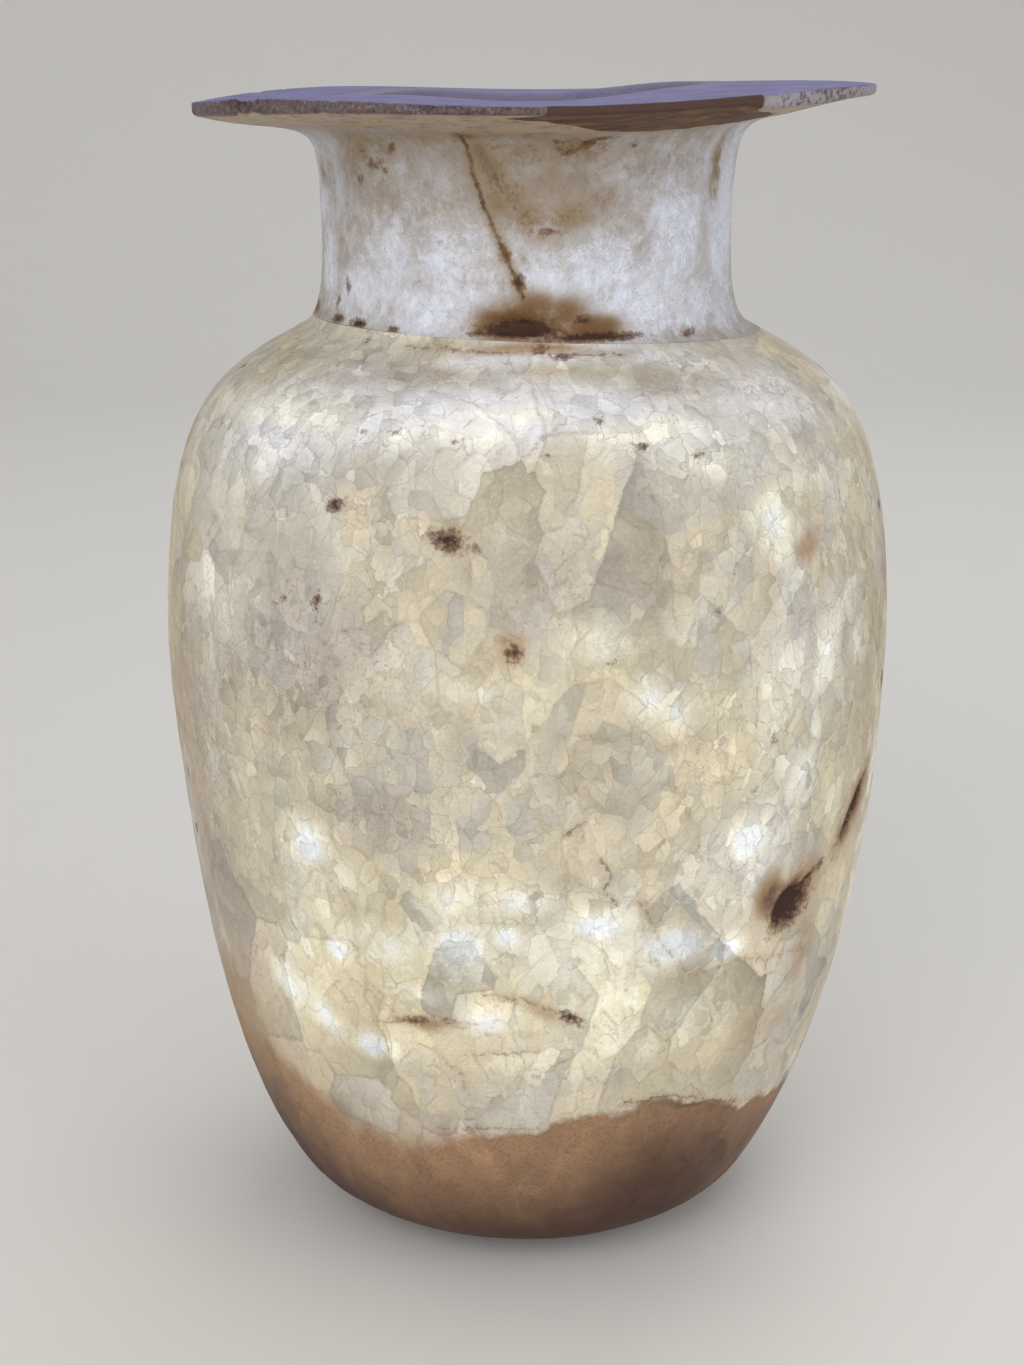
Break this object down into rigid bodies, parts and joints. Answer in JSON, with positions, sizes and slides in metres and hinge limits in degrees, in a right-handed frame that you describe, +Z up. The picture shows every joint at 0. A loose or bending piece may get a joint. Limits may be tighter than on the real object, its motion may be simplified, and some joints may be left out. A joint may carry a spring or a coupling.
{
  "type": "alabaster vase",
  "caption": "Tall hollow stone vase with a small flat foot, full shoulder, straight neck and wide flat rim mended at the front.",
  "frame": {"origin": "centre of the flat underside, on the surface that the vase stands on", "axes": "+Z up along the vase's axis, -Y to the front as pictured, +X to the right seen from the front"},
  "size_m": [0.25, 0.25, 0.3944],
  "materials": {
    "body_stone": "worn polish, translucent coarse crystals",
    "neck_stone": "worn polish, translucent fine grain, dull lavender-grey on the rim",
    "fill": "matt tinted plaster, trowelled and streaky"
  },
  "bodies": {
    "root": {"body": "body_stone", "neck_and_rim": "neck_stone", "rim_fill": "fill"}
  },
  "joints": []
}
